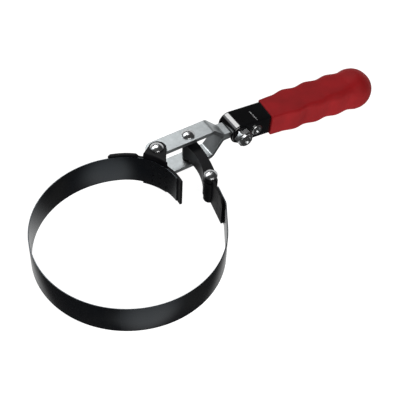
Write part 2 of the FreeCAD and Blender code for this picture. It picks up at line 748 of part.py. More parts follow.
def main():
    os.makedirs("parts", exist_ok=True)
    slit = slit_angle()
    export("band_rear", band_rear())
    export("band_left", band_ring(FLEX_ANGLES[0] + slit, FLEX_ANGLES[1] - slit))
    export("band_front", band_ring(FLEX_ANGLES[1] + slit, FLEX_ANGLES[2] - slit))
    export("band_right", band_right())
    export("rear_shoe", rear_shoe())
    export("band_ties", band_ties())
    export("front_shoe", front_shoe())
    export("shoe_ties", shoe_ties())
    upper = upper_side_plate()
    export("upper_side_plate", upper)
    export("lower_side_plate", mirrored(upper))
    ear_top = EAR_BOTTOM + SHOE_THICKNESS
    export("pivot_rivet", rivet(PIVOT, BAND_HEIGHT - ear_top, ear_top))
    export("arm_rivet", rivet(ARM_PIVOT, BAND_HEIGHT - PLATE_TOP, PLATE_TOP))
    export("shoe_rivet", rivet(SHOE_PIVOT, 0, BAND_HEIGHT))
    export("pivot_spacer", pivot_spacer())
    export("arm_spacers", arm_spacers())
    export("link_arm", link_arm())
    export("swivel_bolt", swivel_bolt())
    export("lock_nut", lock_nut())
    export("nut_washer", nut_washer())
    export("handle_channel", handle_channel())
    export("stop_rivet", stop_rivet())
    export("stop_sleeve", stop_sleeve())
    export("grip", grip())


main()
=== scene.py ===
import math

import bmesh
import bpy
from bpy.props import FloatProperty, FloatVectorProperty, PointerProperty
from mathutils import Matrix, Vector


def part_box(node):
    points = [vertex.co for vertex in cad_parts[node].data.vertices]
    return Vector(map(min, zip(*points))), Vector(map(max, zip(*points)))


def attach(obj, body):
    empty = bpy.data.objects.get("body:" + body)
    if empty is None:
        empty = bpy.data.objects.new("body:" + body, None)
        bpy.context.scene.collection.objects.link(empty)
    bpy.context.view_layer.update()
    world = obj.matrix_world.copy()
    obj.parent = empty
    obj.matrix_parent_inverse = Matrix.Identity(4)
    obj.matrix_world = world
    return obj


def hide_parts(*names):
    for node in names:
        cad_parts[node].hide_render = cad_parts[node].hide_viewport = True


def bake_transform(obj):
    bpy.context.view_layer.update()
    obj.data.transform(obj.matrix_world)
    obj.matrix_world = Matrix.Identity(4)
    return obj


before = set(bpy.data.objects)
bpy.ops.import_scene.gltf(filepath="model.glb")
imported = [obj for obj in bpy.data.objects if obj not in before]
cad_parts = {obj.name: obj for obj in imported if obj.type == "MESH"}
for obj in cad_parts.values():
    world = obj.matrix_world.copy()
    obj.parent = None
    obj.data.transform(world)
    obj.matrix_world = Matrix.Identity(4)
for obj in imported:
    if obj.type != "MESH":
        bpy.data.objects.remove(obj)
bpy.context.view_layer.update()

# Looks of a band-type oil filter wrench with a swivel handle. Metres, in the row frame:
# origin at the loop's centre on the band's lower edge, +Z the loop's axis.

bl_info = {
    "name": "Oil Filter Wrench",
    "version": (1, 0, 0),
    "blender": (4, 5, 0),
    "location": "3D View > Sidebar > Filter Wrench",
    "description": "Builds the spring band, shoes, lever head and vinyl-gripped handle of a filter wrench",
    "category": "Object",
}

MM = 0.001
BAND_LOW, BAND_HIGH = (corner.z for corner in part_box("band_left"))
RING_RADIUS = -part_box("band_left")[0].x
HANDLE_LOW, HANDLE_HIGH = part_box("handle_channel")
BOLT_LOW, BOLT_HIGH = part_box("swivel_bolt")
BOLT_X = (BOLT_LOW.x + BOLT_HIGH.x) / 2.0
MID_Z = (BAND_LOW + BAND_HIGH) / 2.0
HANDLE_Y = (HANDLE_LOW.y + HANDLE_HIGH.y) / 2.0

# Angles round the ring at which the band flexes and where its lengths meet, then the curl inside
# the rear shoe and the straight run and bend that lead to the front shoe.
FLEX_ANGLES = (150.0, 207.5, 265.0)
SEAM_ANGLES = (178.75, 236.25)
CURL_RADIUS = 43.9 * MM
CURL_ANGLES = (-1.0, 65.0)
STRAIGHT_ANGLE = 330.5
FRONT_BEND = (74.05 * MM, -15.0 * MM)
FRONT_BEND_RADIUS = 12.0 * MM
FRONT_END = (77.7 * MM, 1.4 * MM)

# Along the handle, half width, sideways shift, half height, corner radius, in millimetres.
GRIP_STATIONS = (
    (29.0, 11.9, -0.4, 10.0, 1.3),
    (42.0, 12.6, -0.2, 10.0, 1.5),
    (55.6, 14.9, 0.2, 10.5, 2.4),
    (66.3, 13.2, 0.2, 11.0, 3.0),
    (78.7, 15.3, 0.4, 11.6, 4.2),
    (89.7, 13.8, 0.4, 12.0, 5.0),
    (101.0, 15.65, 0.5, 12.8, 6.2),
    (112.3, 14.2, 0.4, 13.5, 7.6),
    (123.5, 17.8, 0.2, 17.0, 16.6),
)
BALL_CENTRE = 123.5
BALL_END = 141.2
BALL_RINGS = 19
RING_STEP = 1.25
SLEEVE_START = GRIP_STATIONS[0][0] + 1.2
SLEEVE_LEAN = 0.095
LEAN_FADE = 12.0
SKEW_FADE_START = 100.0
BORE_END = 117.0
BORE_HALF_HEIGHT = 9.0 * MM
BORE_CORNER = 1.3 * MM
LEAST_CORNER = 0.3 * MM

# Where the room is bright, as directions from the tool.
SWEEP_WAY = (0.45, 0.89, 0.0)
GLOW_WAY = (-0.09, -0.66, -0.744)

FLOOR_HALF_SIDE = 6.0
LAMP_TARGET = (0.06, 0.02, 0.01)
CAMERA_PLACE = (-0.2208, -0.4099, 0.5752)
CAMERA_FORWARD = (0.3783, 0.5505, -0.7442)
CAMERA_ROLL = math.radians(3.03)


# ---- settings ----
class FILTERWRENCH_PG_band(bpy.types.PropertyGroup):
    """Sizes of the spring band."""

    thickness: FloatProperty(
        name="Thickness", description="Thickness of the spring steel",
        default=0.8 * MM, min=0.0003, max=0.003, unit="LENGTH")
    edge_radius: FloatProperty(
        name="Edge Radius", description="Rounding along the rolled edges of the band",
        default=0.22 * MM, min=0.00005, max=0.0005, unit="LENGTH")
    step: FloatProperty(
        name="Step", description="Length of one facet along the band",
        default=0.6 * MM, min=0.0002, max=0.01, unit="LENGTH")


class FILTERWRENCH_PG_grip(bpy.types.PropertyGroup):
    """Sizes of the vinyl grip."""

    droop: FloatProperty(
        name="Droop", description="Angle of the handle below the plane of the loop",
        default=math.radians(6.4), unit="ROTATION")
    skew: FloatProperty(
        name="Skew", description="How far the sleeve's end and waves lean across the handle",
        default=0.09, min=0.0, max=0.3)
    lip: FloatProperty(
        name="Lip", description="Rounding round the open end of the sleeve",
        default=0.5 * MM, min=0.0, max=0.002, unit="LENGTH")
    clearance: FloatProperty(
        name="Clearance", description="Gap between the sleeve and the channel",
        default=0.12 * MM, min=0.0, max=0.001, unit="LENGTH")


class FILTERWRENCH_PG_finish(bpy.types.PropertyGroup):
    """Colours and gloss of the finishes."""

    band_colour: FloatVectorProperty(
        name="Band", description="Colour of the blued spring steel",
        default=(0.004, 0.0045, 0.006), subtype="COLOR", size=3, min=0.0, max=1.0)
    black_colour: FloatVectorProperty(
        name="Black Steel", description="Colour of the blackened shoes and arm",
        default=(0.004, 0.004, 0.005), subtype="COLOR", size=3, min=0.0, max=1.0)
    paint_colour: FloatVectorProperty(
        name="Handle Paint", description="Colour of the gloss paint on the handle channel",
        default=(0.0015, 0.0016, 0.002), subtype="COLOR", size=3, min=0.0, max=1.0)
    zinc_colour: FloatVectorProperty(
        name="Zinc", description="Colour of the zinc plated lever plates",
        default=(0.47, 0.50, 0.51), subtype="COLOR", size=3, min=0.0, max=1.0)
    bright_colour: FloatVectorProperty(
        name="Bright Steel", description="Colour of the bright rivets, bolt and nut",
        default=(0.66, 0.67, 0.68), subtype="COLOR", size=3, min=0.0, max=1.0)
    vinyl_colour: FloatVectorProperty(
        name="Vinyl", description="Colour of the dipped vinyl grip",
        default=(0.33, 0.009, 0.012), subtype="COLOR", size=3, min=0.0, max=1.0)


class FILTERWRENCH_PG_studio(bpy.types.PropertyGroup):
    """Floor and lamps."""

    floor_colour: FloatVectorProperty(
        name="Floor", description="Colour of the floor",
        default=(0.30, 0.30, 0.30), subtype="COLOR", size=3, min=0.0, max=1.0)
    floor_tilt: FloatProperty(
        name="Floor Tilt", description="Slope of the floor under the loop and the handle's ball end",
        default=math.radians(3.3), unit="ROTATION")
    ambient: FloatProperty(
        name="Ambient", description="Brightness of the dim part of the surroundings",
        default=0.05, min=0.0, max=3.0)
    sweep: FloatProperty(
        name="Sweep", description="Brightness of the sweep behind the tool and of the glow in front",
        default=1.0, min=0.0, max=3.0)
    key_power: FloatProperty(
        name="Key Power", description="Power of the large lamp behind the tool",
        default=6.8, min=0.0, unit="POWER")
    front_power: FloatProperty(
        name="Front Power", description="Power of the lamp in front of the tool",
        default=9.0, min=0.0, unit="POWER")
    edge_power: FloatProperty(
        name="Edge Power", description="Power of the weaker lamp beside the large one",
        default=1.0, min=0.0, unit="POWER")


# ---- materials ----
def set_in_columns(columns):
    """Spreads nodes over the node editor, one column for each list, left to right."""
    for across, column in enumerate(columns):
        for down, node in enumerate(column):
            node.location = (across * 260.0, -down * 320.0)


def make_blued_band(name, colour, roughness):
    """Blued spring steel: rolled grain round the loop, temper tint, a lighter colour painted along the
    edges as a highlight.
    """
    material = bpy.data.materials.new(name)
    material.use_nodes = True
    tree = material.node_tree
    nodes, links = tree.nodes, tree.links
    nodes.clear()

    place = nodes.new("ShaderNodeTexCoord")
    place.label = "Place on the band"
    rolled = nodes.new("ShaderNodeMapping")
    rolled.label = "Stretch along the rolling direction"
    grain = nodes.new("ShaderNodeTexNoise")
    grain.label = "Rolled grain"
    gloss = nodes.new("ShaderNodeMapRange")
    gloss.label = "Gloss of the grain"
    clouds = nodes.new("ShaderNodeTexNoise")
    clouds.label = "Patches of temper colour"
    temper = nodes.new("ShaderNodeValToRGB")
    temper.label = "Blue black to brown black"
    # Painted highlight: from the bevel to the mix, the edges get a lighter colour where the rounded and
    # true normals differ, broken up by noise.
    soft_edge = nodes.new("ShaderNodeBevel")
    soft_edge.label = "Rounded edge"
    facing = nodes.new("ShaderNodeNewGeometry")
    facing.label = "True surface"
    edge = nodes.new("ShaderNodeVectorMath")
    edge.label = "Edge where the two differ"
    highlight_width = nodes.new("ShaderNodeMapRange")
    highlight_width.label = "Width of the painted edge highlight"
    highlight_breaks = nodes.new("ShaderNodeTexNoise")
    highlight_breaks.label = "Breaks in the painted highlight"
    broken_highlight = nodes.new("ShaderNodeMath")
    broken_highlight.label = "Painted highlight here and there"
    tint = nodes.new("ShaderNodeMix")
    tint.label = "Painted highlight on the edge"
    relief = nodes.new("ShaderNodeBump")
    relief.label = "Depth of the grain"
    round_loop = nodes.new("ShaderNodeTangent")
    round_loop.label = "Direction round the loop"
    steel = nodes.new("ShaderNodeBsdfPrincipled")
    steel.label = "Blued spring steel"
    output = nodes.new("ShaderNodeOutputMaterial")
    output.label = "Band surface"

    grain_frame = nodes.new("NodeFrame")
    grain_frame.label = "Rolled grain and gloss"
    for node in (rolled, grain, gloss, relief, round_loop):
        node.parent = grain_frame
    temper_frame = nodes.new("NodeFrame")
    temper_frame.label = "Temper colour"
    for node in (clouds, temper):
        node.parent = temper_frame
    edge_highlight_frame = nodes.new("NodeFrame")
    edge_highlight_frame.label = "Painted edge highlight"
    for node in (soft_edge, facing, edge, highlight_width, highlight_breaks, broken_highlight, tint):
        node.parent = edge_highlight_frame
    set_in_columns((
        (place,), (rolled, clouds, soft_edge, facing), (grain, temper, edge, highlight_breaks),
        (gloss, highlight_width, broken_highlight), (relief, tint, round_loop), (steel,), (output,)))

    rolled.inputs["Scale"].default_value = (40.0, 40.0, 2600.0)
    grain.inputs["Scale"].default_value = 1.0
    grain.inputs["Detail"].default_value = 4.0
    grain.inputs["Roughness"].default_value = 0.6
    gloss.inputs["To Min"].default_value = roughness - 0.05
    gloss.inputs["To Max"].default_value = roughness + 0.07
    clouds.inputs["Scale"].default_value = 38.0
    clouds.inputs["Detail"].default_value = 3.0
    temper.color_ramp.elements[0].position = 0.38
    temper.color_ramp.elements[0].color = (*(c * 0.75 for c in colour), 1.0)
    temper.color_ramp.elements[1].position = 0.68
    temper.color_ramp.elements[1].color = (colour[0] * 1.7, colour[1] * 1.5, colour[2] * 1.15, 1.0)
    soft_edge.samples = 4
    soft_edge.inputs["Radius"].default_value = 0.25 * MM
    edge.operation = "DOT_PRODUCT"
    highlight_width.inputs["From Min"].default_value = 0.98
    highlight_width.inputs["From Max"].default_value = 0.75
    highlight_breaks.inputs["Scale"].default_value = 420.0
    highlight_breaks.inputs["Detail"].default_value = 3.0
    broken_highlight.operation = "MULTIPLY"
    tint.data_type = "RGBA"
    # Colour of the painted edge highlight.
    tint.inputs[7].default_value = (0.05, 0.05, 0.05, 1.0)
    relief.inputs["Strength"].default_value = 0.05
    relief.inputs["Distance"].default_value = 0.05 * MM
    round_loop.direction_type = "RADIAL"
    round_loop.axis = "Z"
    steel.inputs["IOR"].default_value = 1.5
    steel.inputs["Anisotropic"].default_value = 0.75
    steel.inputs["Specular IOR Level"].default_value = 0.50
    steel.inputs["Specular Tint"].default_value = (0.78, 0.90, 1.0, 1.0)

    links.new(place.outputs["Object"], rolled.inputs["Vector"])
    links.new(place.outputs["Object"], clouds.inputs["Vector"])
    links.new(place.outputs["Object"], highlight_breaks.inputs["Vector"])
    links.new(rolled.outputs["Vector"], grain.inputs["Vector"])
    links.new(grain.outputs["Fac"], gloss.inputs["Value"])
    links.new(grain.outputs["Fac"], relief.inputs["Height"])
    links.new(clouds.outputs["Fac"], temper.inputs["Fac"])
    links.new(soft_edge.outputs["Normal"], edge.inputs[0])
    links.new(facing.outputs["Normal"], edge.inputs[1])
    links.new(edge.outputs["Value"], highlight_width.inputs["Value"])
    links.new(highlight_width.outputs["Result"], broken_highlight.inputs[0])
    links.new(highlight_breaks.outputs["Fac"], broken_highlight.inputs[1])
    links.new(broken_highlight.outputs["Value"], tint.inputs[0])
    links.new(temper.outputs["Color"], tint.inputs[6])
    links.new(tint.outputs[2], steel.inputs["Base Color"])
    links.new(gloss.outputs["Result"], steel.inputs["Roughness"])
    links.new(round_loop.outputs["Tangent"], steel.inputs["Tangent"])
    links.new(relief.outputs["Normal"], steel.inputs["Normal"])
    links.new(steel.outputs["BSDF"], output.inputs["Surface"])
    return material


def make_black_metal(name, colour, roughness, gloss_level, skin_scale, skin_depth, edge_highlight):
    """Blackened or painted pressed steel: skin texture, hazy patches, a lighter colour painted along the
    edges as a highlight.
    """
    material = bpy.data.materials.new(name)
    material.use_nodes = True
    tree = material.node_tree
    nodes, links = tree.nodes, tree.links
    nodes.clear()

    place = nodes.new("ShaderNodeTexCoord")
    place.label = "Place on the part"
    skin = nodes.new("ShaderNodeTexNoise")
    skin.label = "Skin of the finish"
    haze = nodes.new("ShaderNodeTexNoise")
    haze.label = "Haze and finger marks"
    gloss = nodes.new("ShaderNodeMapRange")
    gloss.label = "Gloss of the haze"
    shade = nodes.new("ShaderNodeValToRGB")
    shade.label = "Deep to thin black"
    # Painted highlight: from the bevel to the mix, the edges get a lighter colour where the rounded and
    # true normals differ, broken up by noise.
    soft_edge = nodes.new("ShaderNodeBevel")
    soft_edge.label = "Rounded edge"
    facing = nodes.new("ShaderNodeNewGeometry")
    facing.label = "True surface"
    edge = nodes.new("ShaderNodeVectorMath")
    edge.label = "Edge where the two differ"
    highlight_width = nodes.new("ShaderNodeMapRange")
    highlight_width.label = "Width of the painted edge highlight"
    highlight_breaks = nodes.new("ShaderNodeTexNoise")
    highlight_breaks.label = "Breaks in the painted highlight"
    broken_highlight = nodes.new("ShaderNodeMath")
    broken_highlight.label = "Painted highlight here and there"
    tint = nodes.new("ShaderNodeMix")
    tint.label = "Painted highlight on the edge"
    relief = nodes.new("ShaderNodeBump")
    relief.label = "Depth of the skin"
    metal = nodes.new("ShaderNodeBsdfPrincipled")
    metal.label = "Black finish"
    output = nodes.new("ShaderNodeOutputMaterial")
    output.label = "Part surface"

    skin_frame = nodes.new("NodeFrame")
    skin_frame.label = "Skin texture"
    for node in (skin, relief):
        node.parent = skin_frame
    haze_frame = nodes.new("NodeFrame")
    haze_frame.label = "Haze"
    for node in (haze, gloss, shade):
        node.parent = haze_frame
    edge_highlight_frame = nodes.new("NodeFrame")
    edge_highlight_frame.label = "Painted edge highlight"
    for node in (soft_edge, facing, edge, highlight_width, highlight_breaks, broken_highlight, tint):
        node.parent = edge_highlight_frame
    set_in_columns((
        (place,), (skin, haze, soft_edge, facing), (gloss, shade, edge, highlight_breaks),
        (relief, highlight_width, broken_highlight), (tint,), (metal,), (output,)))

    skin.inputs["Scale"].default_value = skin_scale
    skin.inputs["Detail"].default_value = 4.0
    haze.inputs["Scale"].default_value = 90.0
    haze.inputs["Detail"].default_value = 3.0
    gloss.inputs["To Min"].default_value = roughness * 0.8
    gloss.inputs["To Max"].default_value = roughness * 1.25
    shade.color_ramp.elements[0].position = 0.35
    shade.color_ramp.elements[0].color = (*(c * 0.7 for c in colour), 1.0)
    shade.color_ramp.elements[1].position = 0.70
    shade.color_ramp.elements[1].color = (*(c * 1.6 for c in colour), 1.0)
    soft_edge.samples = 6
    soft_edge.inputs["Radius"].default_value = 0.45 * MM
    edge.operation = "DOT_PRODUCT"
    highlight_width.inputs["From Min"].default_value = 0.96
    highlight_width.inputs["From Max"].default_value = 0.80
    highlight_breaks.inputs["Scale"].default_value = 500.0
    highlight_breaks.inputs["Detail"].default_value = 3.0
    broken_highlight.operation = "MULTIPLY"
    tint.data_type = "RGBA"
    # Colour of the painted edge highlight.
    tint.inputs[7].default_value = (edge_highlight, edge_highlight, edge_highlight, 1.0)
    relief.inputs["Strength"].default_value = 0.35
    relief.inputs["Distance"].default_value = skin_depth
    metal.inputs["IOR"].default_value = 1.5
    metal.inputs["Specular IOR Level"].default_value = gloss_level

    links.new(place.outputs["Object"], skin.inputs["Vector"])
    links.new(place.outputs["Object"], haze.inputs["Vector"])
    links.new(place.outputs["Object"], highlight_breaks.inputs["Vector"])
    links.new(haze.outputs["Fac"], gloss.inputs["Value"])
    links.new(haze.outputs["Fac"], shade.inputs["Fac"])
    links.new(skin.outputs["Fac"], relief.inputs["Height"])
    links.new(soft_edge.outputs["Normal"], relief.inputs["Normal"])
    links.new(soft_edge.outputs["Normal"], edge.inputs[0])
    links.new(facing.outputs["Normal"], edge.inputs[1])
    links.new(edge.outputs["Value"], highlight_width.inputs["Value"])
    links.new(highlight_width.outputs["Result"], broken_highlight.inputs[0])
    links.new(highlight_breaks.outputs["Fac"], broken_highlight.inputs[1])
    links.new(broken_highlight.outputs["Value"], tint.inputs[0])
    links.new(shade.outputs["Color"], tint.inputs[6])
    links.new(tint.outputs[2], metal.inputs["Base Color"])
    links.new(gloss.outputs["Result"], metal.inputs["Roughness"])
    links.new(relief.outputs["Normal"], metal.inputs["Normal"])
    links.new(metal.outputs["BSDF"], output.inputs["Surface"])
    return material


def make_plated_steel(name, colour, roughness, mottle, grain_scale, grain_depth):
    """Plated steel: mottled plating, fine grain, dull spots, rounded edges."""
    material = bpy.data.materials.new(name)
    material.use_nodes = True
    tree = material.node_tree
    nodes, links = tree.nodes, tree.links
    nodes.clear()

    place = nodes.new("ShaderNodeTexCoord")
    place.label = "Place on the part"
    spangle = nodes.new("ShaderNodeTexNoise")
    spangle.label = "Mottled plating"
    shade = nodes.new("ShaderNodeValToRGB")
    shade.label = "Dull to clear plating"
    dull = nodes.new("ShaderNodeTexNoise")
    dull.label = "Dull spots"
    gloss = nodes.new("ShaderNodeMapRange")
    gloss.label = "Gloss of the plating"
    grain = nodes.new("ShaderNodeTexNoise")
    grain.label = "Fine grain"
    soft_edge = nodes.new("ShaderNodeBevel")
    soft_edge.label = "Rounded edge"
    relief = nodes.new("ShaderNodeBump")
    relief.label = "Depth of the grain"
    metal = nodes.new("ShaderNodeBsdfPrincipled")
    metal.label = "Plated steel"
    output = nodes.new("ShaderNodeOutputMaterial")
    output.label = "Part surface"

    plating_frame = nodes.new("NodeFrame")
    plating_frame.label = "Mottled plating"
    for node in (spangle, shade):
        node.parent = plating_frame
    gloss_frame = nodes.new("NodeFrame")
    gloss_frame.label = "Dull spots"
    for node in (dull, gloss):
        node.parent = gloss_frame
    grain_frame = nodes.new("NodeFrame")
    grain_frame.label = "Grain and rounded edges"
    for node in (grain, soft_edge, relief):
        node.parent = grain_frame
    set_in_columns((
        (place,), (spangle, dull, grain, soft_edge), (shade, gloss, relief), (metal,), (output,)))

    spangle.inputs["Scale"].default_value = 260.0
    spangle.inputs["Detail"].default_value = 5.0
    spangle.inputs["Roughness"].default_value = 0.65
    shade.color_ramp.elements[0].position = 0.34
    shade.color_ramp.elements[0].color = (*(c * (1.0 - mottle) for c in colour), 1.0)
    shade.color_ramp.elements[1].position = 0.64
    shade.color_ramp.elements[1].color = (*colour, 1.0)
    dull.inputs["Scale"].default_value = 140.0
    dull.inputs["Detail"].default_value = 4.0
    gloss.inputs["To Min"].default_value = roughness * 0.75
    gloss.inputs["To Max"].default_value = roughness * 1.3
    grain.inputs["Scale"].default_value = grain_scale
    grain.inputs["Detail"].default_value = 3.0
    soft_edge.samples = 6
    soft_edge.inputs["Radius"].default_value = 0.4 * MM
    relief.inputs["Strength"].default_value = 0.3
    relief.inputs["Distance"].default_value = grain_depth
    metal.inputs["Metallic"].default_value = 1.0
    metal.inputs["IOR"].default_value = 1.5

    links.new(place.outputs["Object"], spangle.inputs["Vector"])
    links.new(place.outputs["Object"], dull.inputs["Vector"])
    links.new(place.outputs["Object"], grain.inputs["Vector"])
    links.new(spangle.outputs["Fac"], shade.inputs["Fac"])
    links.new(dull.outputs["Fac"], gloss.inputs["Value"])
    links.new(grain.outputs["Fac"], relief.inputs["Height"])
    links.new(soft_edge.outputs["Normal"], relief.inputs["Normal"])
    links.new(shade.outputs["Color"], metal.inputs["Base Color"])
    links.new(gloss.outputs["Result"], metal.inputs["Roughness"])
    links.new(relief.outputs["Normal"], metal.inputs["Normal"])
    links.new(metal.outputs["BSDF"], output.inputs["Surface"])
    return material


def make_vinyl(name, colour):
    """Dipped vinyl: fine dimpled skin, uneven red, dull gloss."""
    material = bpy.data.materials.new(name)
    material.use_nodes = True
    tree = material.node_tree
    nodes, links = tree.nodes, tree.links
    nodes.clear()

    place = nodes.new("ShaderNodeTexCoord")
    place.label = "Place on the grip"
    clouds = nodes.new("ShaderNodeTexNoise")
    clouds.label = "Uneven dip"
    shade = nodes.new("ShaderNodeValToRGB")
    shade.label = "Deep to light red"
    dimples = nodes.new("ShaderNodeTexVoronoi")
    dimples.label = "Fine dimples"
    skin = nodes.new("ShaderNodeTexNoise")
    skin.label = "Orange peel"
    height = nodes.new("ShaderNodeMath")
    height.label = "Dimples on the peel"
    gloss = nodes.new("ShaderNodeMapRange")
    gloss.label = "Handled and fresh gloss"
    relief = nodes.new("ShaderNodeBump")
    relief.label = "Depth of the skin"
    vinyl = nodes.new("ShaderNodeBsdfPrincipled")
    vinyl.label = "Red vinyl"
    output = nodes.new("ShaderNodeOutputMaterial")
    output.label = "Grip surface"

    colour_frame = nodes.new("NodeFrame")
    colour_frame.label = "Uneven colour"
    for node in (clouds, shade, gloss):
        node.parent = colour_frame
    skin_frame = nodes.new("NodeFrame")
    skin_frame.label = "Dimpled skin"
    for node in (dimples, skin, height, relief):
        node.parent = skin_frame
    set_in_columns((
        (place,), (clouds, dimples, skin), (shade, gloss, height), (relief,), (vinyl,), (output,)))

    clouds.inputs["Scale"].default_value = 60.0
    clouds.inputs["Detail"].default_value = 4.0
    shade.color_ramp.elements[0].position = 0.32
    shade.color_ramp.elements[0].color = (*(c * 0.82 for c in colour), 1.0)
    shade.color_ramp.elements[1].position = 0.70
    shade.color_ramp.elements[1].color = (*(c * 1.08 for c in colour), 1.0)
    dimples.inputs["Scale"].default_value = 1500.0
    skin.inputs["Scale"].default_value = 700.0
    skin.inputs["Detail"].default_value = 3.0
    height.operation = "ADD"
    gloss.inputs["To Min"].default_value = 0.50
    gloss.inputs["To Max"].default_value = 0.66
    relief.inputs["Strength"].default_value = 0.4
    relief.inputs["Distance"].default_value = 0.08 * MM
    vinyl.inputs["IOR"].default_value = 1.46
    vinyl.inputs["Specular IOR Level"].default_value = 0.18

    links.new(place.outputs["Object"], clouds.inputs["Vector"])
    links.new(place.outputs["Object"], dimples.inputs["Vector"])
    links.new(place.outputs["Object"], skin.inputs["Vector"])
    links.new(clouds.outputs["Fac"], shade.inputs["Fac"])
    links.new(clouds.outputs["Fac"], gloss.inputs["Value"])
    links.new(dimples.outputs["Distance"], height.inputs[0])
    links.new(skin.outputs["Fac"], height.inputs[1])
    links.new(height.outputs["Value"], relief.inputs["Height"])
    links.new(shade.outputs["Color"], vinyl.inputs["Base Color"])
    links.new(gloss.outputs["Result"], vinyl.inputs["Roughness"])
    links.new(relief.outputs["Normal"], vinyl.inputs["Normal"])
    links.new(vinyl.outputs["BSDF"], output.inputs["Surface"])
    return material


def make_floor_paper(name, colour):
    """Matt white paper that glows a little, so that it stays pale right round the tool."""
    material = bpy.data.materials.new(name)
    material.use_nodes = True
    tree = material.node_tree
    nodes, links = tree.nodes, tree.links
    nodes.clear()

    paper = nodes.new("ShaderNodeBsdfPrincipled")
    paper.label = "White paper"
    output = nodes.new("ShaderNodeOutputMaterial")
    output.label = "Floor surface"
    set_in_columns(((paper,), (output,)))

    paper.inputs["Base Color"].default_value = (*colour, 1.0)
    paper.inputs["Roughness"].default_value = 0.9
    paper.inputs["Specular IOR Level"].default_value = 0.0
    paper.inputs["Emission Color"].default_value = (1.0, 1.0, 1.0, 1.0)
    paper.inputs["Emission Strength"].default_value = 0.95
    links.new(paper.outputs["BSDF"], output.inputs["Surface"])
    return material


def make_surroundings(ambient, sweep):
    """World of a dim room with a pale sweep behind the tool and a glow low in front."""
    world = bpy.data.worlds.new("studio_world")
    world.use_nodes = True
    tree = world.node_tree
    nodes, links = tree.nodes, tree.links
    nodes.clear()

    way = nodes.new("ShaderNodeTexCoord")
    way.label = "Direction in the room"
    behind = nodes.new("ShaderNodeVectorMath")
    behind.label = "How far behind the tool"
    behind_edge = nodes.new("ShaderNodeMapRange")
    behind_edge.label = "Sides of the sweep"
    heights = nodes.new("ShaderNodeSeparateXYZ")
    heights.label = "Height in the room"
    top_edge = nodes.new("ShaderNodeMapRange")
    top_edge.label = "Top of the sweep"
    sweep_share = nodes.new("ShaderNodeMath")
    sweep_share.label = "Sweep"
    in_front = nodes.new("ShaderNodeVectorMath")
    in_front.label = "How near the low front"
    front_glow = nodes.new("ShaderNodeMapRange")
    front_glow.label = "Glow low in front"
    brightest = nodes.new("ShaderNodeMath")
    brightest.label = "Sweep or glow"
    strength = nodes.new("ShaderNodeMapRange")
    strength.label = "Dim room to bright"
    background = nodes.new("ShaderNodeBackground")
    background.label = "Surroundings"
    output = nodes.new("ShaderNodeOutputWorld")
    output.label = "Room"

    sweep_frame = nodes.new("NodeFrame")
    sweep_frame.label = "Pale sweep"
    for node in (behind, behind_edge, heights, top_edge, sweep_share):
        node.parent = sweep_frame
    glow_frame = nodes.new("NodeFrame")
    glow_frame.label = "Front glow"
    for node in (in_front, front_glow):
        node.parent = glow_frame
    set_in_columns((
        (way,), (behind, heights, in_front), (behind_edge, top_edge, front_glow), (sweep_share,),
        (brightest,), (strength,), (background,), (output,)))

    behind.operation = "DOT_PRODUCT"
    behind.inputs[1].default_value = SWEEP_WAY
    behind_edge.inputs["From Min"].default_value = 0.25
    behind_edge.inputs["From Max"].default_value = 0.60
    top_edge.inputs["From Min"].default_value = 0.45
    top_edge.inputs["From Max"].default_value = 0.28
    sweep_share.operation = "MULTIPLY"
    in_front.operation = "DOT_PRODUCT"
    in_front.inputs[1].default_value = GLOW_WAY
    front_glow.interpolation_type = "SMOOTHSTEP"
    front_glow.inputs["From Min"].default_value = 0.885
    front_glow.inputs["From Max"].default_value = 0.995
    brightest.operation = "MAXIMUM"
    strength.inputs["To Min"].default_value = ambient
    strength.inputs["To Max"].default_value = sweep

    links.new(way.outputs["Generated"], behind.inputs[0])
    links.new(way.outputs["Generated"], heights.inputs["Vector"])
    links.new(behind.outputs["Value"], behind_edge.inputs["Value"])
    links.new(heights.outputs["Z"], top_edge.inputs["Value"])
    links.new(behind_edge.outputs["Result"], sweep_share.inputs[0])
    links.new(top_edge.outputs["Result"], sweep_share.inputs[1])
    links.new(way.outputs["Generated"], in_front.inputs[0])
    links.new(in_front.outputs["Value"], front_glow.inputs["Value"])
    links.new(sweep_share.outputs["Value"], brightest.inputs[0])
    links.new(front_glow.outputs["Result"], brightest.inputs[1])
    links.new(brightest.outputs["Value"], strength.inputs["Value"])
    links.new(strength.outputs["Result"], background.inputs["Strength"])
    links.new(background.outputs["Background"], output.inputs["Surface"])
    return world


def find_material(name):
    """A finish that the finishes' operator made."""
    material = bpy.data.materials.get(name)
    if material is None:
        raise RuntimeError("make the finishes first: there is no " + name)
    return material


def coat_node(name, material):
    """Gives a CAD node its finish."""
    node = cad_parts[name]
    node.data.materials.clear()
    node.data.materials.append(material)


# ---- mesh helpers ----
def new_piece(name, mesh_data, material, smooth_angle):
    """A smooth-shaded object from a bmesh, with edges sharper than an angle kept crisp."""
    mesh = bpy.data.meshes.new(name)
    bmesh.ops.recalc_face_normals(mesh_data, faces=mesh_data.faces)
    for face in mesh_data.faces:
        face.smooth = True
    for edge in mesh_data.edges:
        edge.smooth = not edge.is_manifold or edge.calc_face_angle() < smooth_angle
    mesh_data.to_mesh(mesh)
    mesh_data.free()
    mesh.materials.append(material)
    piece = bpy.data.objects.new(name, mesh)
    bpy.context.scene.collection.objects.link(piece)
    return piece


def skin_rings(mesh_data, rings):
    """Joins closed rings of points by faces, in order, with a flat cap on each end."""
    made = [[mesh_data.verts.new(p) for p in ring] for ring in rings]
    for ring, following in zip(made, made[1:]):
        for i in range(len(ring)):
            k = (i + 1) % len(ring)
            mesh_data.faces.new((ring[i], ring[k], following[k], following[i]))
    mesh_data.faces.new(list(reversed(made[0])))
    mesh_data.faces.new(made[-1])


